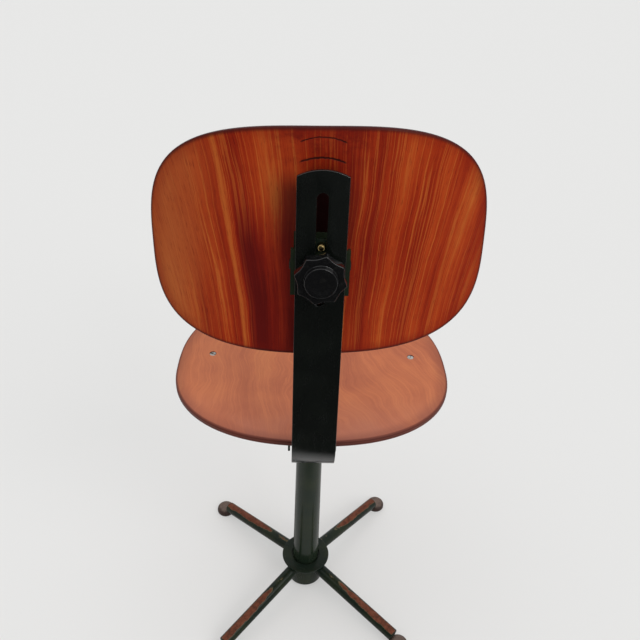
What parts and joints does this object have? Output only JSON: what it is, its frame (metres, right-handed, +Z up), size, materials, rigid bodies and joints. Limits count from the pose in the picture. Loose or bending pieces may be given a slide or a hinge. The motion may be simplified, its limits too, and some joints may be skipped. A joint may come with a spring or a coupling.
{
  "type": "office chair",
  "caption": "Swivel work chair with a four-legged tube base, tapered column, round plywood seat and a curved plywood backrest on a flat steel arm.",
  "frame": {"origin": "on the column's axis at floor level", "axes": "+Z up, the sitter faces -Y, +X to the sitter's left"},
  "size_m": [0.398, 0.3751, 0.8898],
  "materials": {
    "green_enamel": "dark green gloss enamel, worn to brown on the legs",
    "black_enamel": "near-black satin enamel",
    "foot_steel": "rusty grey-brown steel",
    "steel": "dull bright steel",
    "bronze": "plain bearing bronze",
    "brass": "polished brass",
    "bakelite": "black moulded bakelite",
    "back_veneer": "red-brown varnished veneer, upright grain",
    "seat_veneer": "worn pinkish brown veneer",
    "beech": "plain beech"
  },
  "bodies": {
    "base": {"hub_barrel": "green_enamel", "hub_flange": "green_enamel", "leg_1": "green_enamel", "leg_2": "green_enamel", "leg_3": "green_enamel", "leg_4": "green_enamel", "foot_1": "foot_steel", "foot_2": "foot_steel", "foot_3": "foot_steel", "foot_4": "foot_steel", "column": "green_enamel", "column_guide": "bronze", "key_screw": "steel"},
    "height_ring": {"height_ring": "steel"},
    "spindle": {"spindle": "steel", "spindle_stop_washer": "steel", "spindle_stop_screw": "steel", "thrust_washer": "bronze"},
    "seat": {"swivel_socket": "green_enamel", "lower_bush": "bronze", "upper_bush": "bronze", "retaining_screw": "steel", "seat_channel": "green_enamel", "crossbar": "green_enamel", "front_packer": "beech", "rear_packer": "beech", "seat_board": "seat_veneer", "seat_screw_left": "steel", "seat_screw_right": "steel", "seat_screw_front": "steel", "seat_screw_rear": "steel", "crossbar_nut_left": "steel", "crossbar_nut_right": "steel", "depth_bolt": "steel", "depth_washer": "steel"},
    "arm": {"back_arm": "black_enamel"},
    "lower_knob": {"lower_knob": "bakelite", "lower_knob_insert": "brass"},
    "bracket": {"back_bracket": "green_enamel", "clamp_bolt": "steel", "clamp_washer": "steel", "guide_stud": "brass"},
    "upper_knob": {"upper_knob": "bakelite", "upper_knob_insert": "brass"},
    "backrest": {"backrest_board": "back_veneer", "hinge_plate": "green_enamel", "hinge_pin": "steel", "hinge_screw_1": "steel", "hinge_screw_2": "steel", "hinge_screw_3": "steel", "hinge_screw_4": "steel"}
  },
  "joints": [
    {"name": "height_ring_turn", "type": "hinge", "parent": "base", "child": "height_ring", "pos_m": [0, 0, 0.384], "axis": [0, 0, -1], "range_deg": [0, 4320]},
    {"name": "seat_height", "type": "slide", "parent": "base", "child": "spindle", "axis": [0, 0, 1], "range_m": [0, 0.096]},
    {"name": "seat_swivel", "type": "hinge", "parent": "spindle", "child": "seat", "pos_m": [0, 0, 0.41], "axis": [0, 0, 1], "continuous": true},
    {"name": "arm_depth", "type": "slide", "parent": "seat", "child": "arm", "axis": [0, 1, 0], "range_m": [0, 0.033]},
    {"name": "lower_knob_turn", "type": "hinge", "parent": "seat", "child": "lower_knob", "pos_m": [0, 0.074, 0.43], "axis": [0, 0, -1], "range_deg": [0, 360]},
    {"name": "backrest_height", "type": "slide", "parent": "arm", "child": "bracket", "axis": [0, -0.1132, 0.9936], "range_m": [-0.038, 0.052]},
    {"name": "upper_knob_turn", "type": "hinge", "parent": "bracket", "child": "upper_knob", "pos_m": [0, 0.1648, 0.74957], "axis": [0, 0.9936, 0.1132], "range_deg": [0, 360]},
    {"name": "backrest_tilt", "type": "hinge", "parent": "bracket", "child": "backrest", "pos_m": [0, 0.1335, 0.746], "axis": [-1, 0, 0], "range_deg": [0, 10]}
  ],
  "couplings": [
    {"joint": "height_ring_turn", "follows": "seat_height", "rad_per_m": 785.39}
  ]
}
